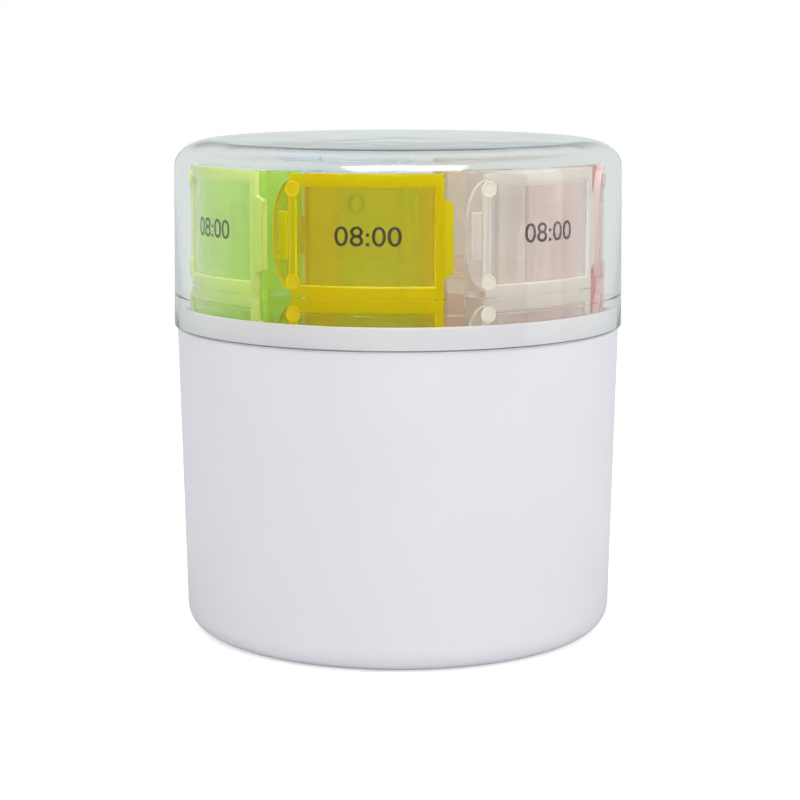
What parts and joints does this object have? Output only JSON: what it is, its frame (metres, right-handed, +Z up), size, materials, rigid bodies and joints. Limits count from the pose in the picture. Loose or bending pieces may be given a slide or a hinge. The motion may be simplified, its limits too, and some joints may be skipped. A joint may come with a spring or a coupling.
{
  "type": "round weekly pill organizer",
  "caption": "Round weekly pill organizer: white holder cup, clear slip-on cover and a ring of tinted wedge day boxes with hinged compartment lids.",
  "frame": {"origin": "centre of the foot, on the surface that the organizer stands on", "axes": "+Z up along the organizer's own axis, -Y towards the viewer of the picture, +X to the viewer's right"},
  "size_m": [0.11, 0.11, 0.1202],
  "materials": {
    "cup_white": "satin injection-moulded white polypropylene, slightly cool",
    "cover_clear": "clear polished polystyrene, thin, with a faint cool cast",
    "tint_yellow": "transparent yellow polished polystyrene",
    "tint_clear": "clear polished polystyrene",
    "tint_pink": "transparent pink polished polystyrene",
    "tint_orange": "transparent orange polished polystyrene",
    "tint_blue": "transparent blue polished polystyrene",
    "tint_lilac": "transparent lilac polished polystyrene",
    "tint_green": "transparent green polished polystyrene",
    "label_ink": "dark grey pad-printed ink"
  },
  "bodies": {
    "holder": {"holder_cup": "cup_white"},
    "cover": {"clear_cover": "cover_clear"},
    "box_1": {"day_box_1": "tint_yellow"},
    "lid_1_1": {"day_1_lid_1": "tint_yellow"},
    "lid_1_2": {"day_1_lid_2": "tint_yellow"},
    "lid_1_3": {"day_1_lid_3": "tint_yellow"},
    "lid_1_4": {"day_1_lid_4": "tint_yellow"},
    "box_2": {"day_box_2": "tint_clear"},
    "lid_2_1": {"day_2_lid_1": "tint_clear"},
    "lid_2_2": {"day_2_lid_2": "tint_clear"},
    "lid_2_3": {"day_2_lid_3": "tint_clear"},
    "lid_2_4": {"day_2_lid_4": "tint_clear"},
    "box_3": {"day_box_3": "tint_pink"},
    "lid_3_1": {"day_3_lid_1": "tint_pink"},
    "lid_3_2": {"day_3_lid_2": "tint_pink"},
    "lid_3_3": {"day_3_lid_3": "tint_pink"},
    "lid_3_4": {"day_3_lid_4": "tint_pink"},
    "box_4": {"day_box_4": "tint_orange"},
    "lid_4_1": {"day_4_lid_1": "tint_orange"},
    "lid_4_2": {"day_4_lid_2": "tint_orange"},
    "lid_4_3": {"day_4_lid_3": "tint_orange"},
    "lid_4_4": {"day_4_lid_4": "tint_orange"},
    "box_5": {"day_box_5": "tint_blue"},
    "lid_5_1": {"day_5_lid_1": "tint_blue"},
    "lid_5_2": {"day_5_lid_2": "tint_blue"},
    "lid_5_3": {"day_5_lid_3": "tint_blue"},
    "lid_5_4": {"day_5_lid_4": "tint_blue"},
    "box_6": {"day_box_6": "tint_lilac"},
    "lid_6_1": {"day_6_lid_1": "tint_lilac"},
    "lid_6_2": {"day_6_lid_2": "tint_lilac"},
    "lid_6_3": {"day_6_lid_3": "tint_lilac"},
    "lid_6_4": {"day_6_lid_4": "tint_lilac"},
    "box_7": {"day_box_7": "tint_green"},
    "lid_7_1": {"day_7_lid_1": "tint_green"},
    "lid_7_2": {"day_7_lid_2": "tint_green"},
    "lid_7_3": {"day_7_lid_3": "tint_green"},
    "lid_7_4": {"day_7_lid_4": "tint_green"}
  },
  "joints": [
    {"name": "cover_lift", "type": "slide", "parent": "holder", "child": "cover", "axis": [0, 0, 1], "range_m": [0, 0.26]},
    {"name": "box_1_lift", "type": "slide", "parent": "holder", "child": "box_1", "axis": [0, 0, 1], "range_m": [0, 0.13]},
    {"name": "lid_1_1_hinge", "type": "hinge", "parent": "box_1", "child": "lid_1_1", "pos_m": [0.00982, -0.04658, 0.10082], "axis": [0, 0, 1], "range_deg": [0, 2.8]},
    {"name": "lid_1_2_hinge", "type": "hinge", "parent": "box_1", "child": "lid_1_2", "pos_m": [0.00982, -0.04658, 0.07268], "axis": [0, 0, 1], "range_deg": [0, 1.2]},
    {"name": "lid_1_3_hinge", "type": "hinge", "parent": "box_1", "child": "lid_1_3", "pos_m": [0.00982, -0.04658, 0.04453], "axis": [0, 0, 1], "range_deg": [0, 0.9]},
    {"name": "lid_1_4_hinge", "type": "hinge", "parent": "box_1", "child": "lid_1_4", "pos_m": [0.00982, -0.04658, 0.01638], "axis": [0, 0, 1], "range_deg": [0, 0.6]},
    {"name": "box_2_lift", "type": "slide", "parent": "holder", "child": "box_2", "axis": [0, 0, 1], "range_m": [0, 0.13]},
    {"name": "lid_2_1_hinge", "type": "hinge", "parent": "box_2", "child": "lid_2_1", "pos_m": [0.04254, -0.02136, 0.10082], "axis": [0, 0, 1], "range_deg": [0, 2.8]},
    {"name": "lid_2_2_hinge", "type": "hinge", "parent": "box_2", "child": "lid_2_2", "pos_m": [0.04254, -0.02136, 0.07268], "axis": [0, 0, 1], "range_deg": [0, 1.2]},
    {"name": "lid_2_3_hinge", "type": "hinge", "parent": "box_2", "child": "lid_2_3", "pos_m": [0.04254, -0.02136, 0.04453], "axis": [0, 0, 1], "range_deg": [0, 0.9]},
    {"name": "lid_2_4_hinge", "type": "hinge", "parent": "box_2", "child": "lid_2_4", "pos_m": [0.04254, -0.02136, 0.01638], "axis": [0, 0, 1], "range_deg": [0, 0.6]},
    {"name": "box_3_lift", "type": "slide", "parent": "holder", "child": "box_3", "axis": [0, 0, 1], "range_m": [0, 0.13]},
    {"name": "lid_3_1_hinge", "type": "hinge", "parent": "box_3", "child": "lid_3_1", "pos_m": [0.04322, 0.01994, 0.10082], "axis": [0, 0, 1], "range_deg": [0, 2.8]},
    {"name": "lid_3_2_hinge", "type": "hinge", "parent": "box_3", "child": "lid_3_2", "pos_m": [0.04322, 0.01994, 0.07268], "axis": [0, 0, 1], "range_deg": [0, 1.2]},
    {"name": "lid_3_3_hinge", "type": "hinge", "parent": "box_3", "child": "lid_3_3", "pos_m": [0.04322, 0.01994, 0.04453], "axis": [0, 0, 1], "range_deg": [0, 0.9]},
    {"name": "lid_3_4_hinge", "type": "hinge", "parent": "box_3", "child": "lid_3_4", "pos_m": [0.04322, 0.01994, 0.01638], "axis": [0, 0, 1], "range_deg": [0, 0.6]},
    {"name": "box_4_lift", "type": "slide", "parent": "holder", "child": "box_4", "axis": [0, 0, 1], "range_m": [0, 0.13]},
    {"name": "lid_4_1_hinge", "type": "hinge", "parent": "box_4", "child": "lid_4_1", "pos_m": [0.01136, 0.04622, 0.10082], "axis": [0, 0, 1], "range_deg": [0, 2.8]},
    {"name": "lid_4_2_hinge", "type": "hinge", "parent": "box_4", "child": "lid_4_2", "pos_m": [0.01136, 0.04622, 0.07268], "axis": [0, 0, 1], "range_deg": [0, 1.2]},
    {"name": "lid_4_3_hinge", "type": "hinge", "parent": "box_4", "child": "lid_4_3", "pos_m": [0.01136, 0.04622, 0.04453], "axis": [0, 0, 1], "range_deg": [0, 0.9]},
    {"name": "lid_4_4_hinge", "type": "hinge", "parent": "box_4", "child": "lid_4_4", "pos_m": [0.01136, 0.04622, 0.01638], "axis": [0, 0, 1], "range_deg": [0, 0.6]},
    {"name": "box_5_lift", "type": "slide", "parent": "holder", "child": "box_5", "axis": [0, 0, 1], "range_m": [0, 0.13]},
    {"name": "lid_5_1_hinge", "type": "hinge", "parent": "box_5", "child": "lid_5_1", "pos_m": [-0.02906, 0.0377, 0.10082], "axis": [0, 0, 1], "range_deg": [0, 2.8]},
    {"name": "lid_5_2_hinge", "type": "hinge", "parent": "box_5", "child": "lid_5_2", "pos_m": [-0.02906, 0.0377, 0.07268], "axis": [0, 0, 1], "range_deg": [0, 1.2]},
    {"name": "lid_5_3_hinge", "type": "hinge", "parent": "box_5", "child": "lid_5_3", "pos_m": [-0.02906, 0.0377, 0.04453], "axis": [0, 0, 1], "range_deg": [0, 0.9]},
    {"name": "lid_5_4_hinge", "type": "hinge", "parent": "box_5", "child": "lid_5_4", "pos_m": [-0.02906, 0.0377, 0.01638], "axis": [0, 0, 1], "range_deg": [0, 0.6]},
    {"name": "box_6_lift", "type": "slide", "parent": "holder", "child": "box_6", "axis": [0, 0, 1], "range_m": [0, 0.13]},
    {"name": "lid_6_1_hinge", "type": "hinge", "parent": "box_6", "child": "lid_6_1", "pos_m": [-0.04759, 0.00079, 0.10082], "axis": [0, 0, 1], "range_deg": [0, 2.8]},
    {"name": "lid_6_2_hinge", "type": "hinge", "parent": "box_6", "child": "lid_6_2", "pos_m": [-0.04759, 0.00079, 0.07268], "axis": [0, 0, 1], "range_deg": [0, 1.2]},
    {"name": "lid_6_3_hinge", "type": "hinge", "parent": "box_6", "child": "lid_6_3", "pos_m": [-0.04759, 0.00079, 0.04453], "axis": [0, 0, 1], "range_deg": [0, 0.9]},
    {"name": "lid_6_4_hinge", "type": "hinge", "parent": "box_6", "child": "lid_6_4", "pos_m": [-0.04759, 0.00079, 0.01638], "axis": [0, 0, 1], "range_deg": [0, 0.6]},
    {"name": "box_7_lift", "type": "slide", "parent": "holder", "child": "box_7", "axis": [0, 0, 1], "range_m": [0, 0.13]},
    {"name": "lid_7_1_hinge", "type": "hinge", "parent": "box_7", "child": "lid_7_1", "pos_m": [-0.03029, -0.03672, 0.10082], "axis": [0, 0, 1], "range_deg": [0, 2.8]},
    {"name": "lid_7_2_hinge", "type": "hinge", "parent": "box_7", "child": "lid_7_2", "pos_m": [-0.03029, -0.03672, 0.07268], "axis": [0, 0, 1], "range_deg": [0, 1.2]},
    {"name": "lid_7_3_hinge", "type": "hinge", "parent": "box_7", "child": "lid_7_3", "pos_m": [-0.03029, -0.03672, 0.04453], "axis": [0, 0, 1], "range_deg": [0, 0.9]},
    {"name": "lid_7_4_hinge", "type": "hinge", "parent": "box_7", "child": "lid_7_4", "pos_m": [-0.03029, -0.03672, 0.01638], "axis": [0, 0, 1], "range_deg": [0, 0.6]}
  ],
  "couplings": [
    {"joint": "box_1_lift", "follows": "cover_lift", "ratio": 0.5},
    {"joint": "box_2_lift", "follows": "cover_lift", "ratio": 0.5},
    {"joint": "box_3_lift", "follows": "cover_lift", "ratio": 0.5},
    {"joint": "box_4_lift", "follows": "cover_lift", "ratio": 0.5},
    {"joint": "box_5_lift", "follows": "cover_lift", "ratio": 0.5},
    {"joint": "box_6_lift", "follows": "cover_lift", "ratio": 0.5},
    {"joint": "box_7_lift", "follows": "cover_lift", "ratio": 0.5}
  ]
}
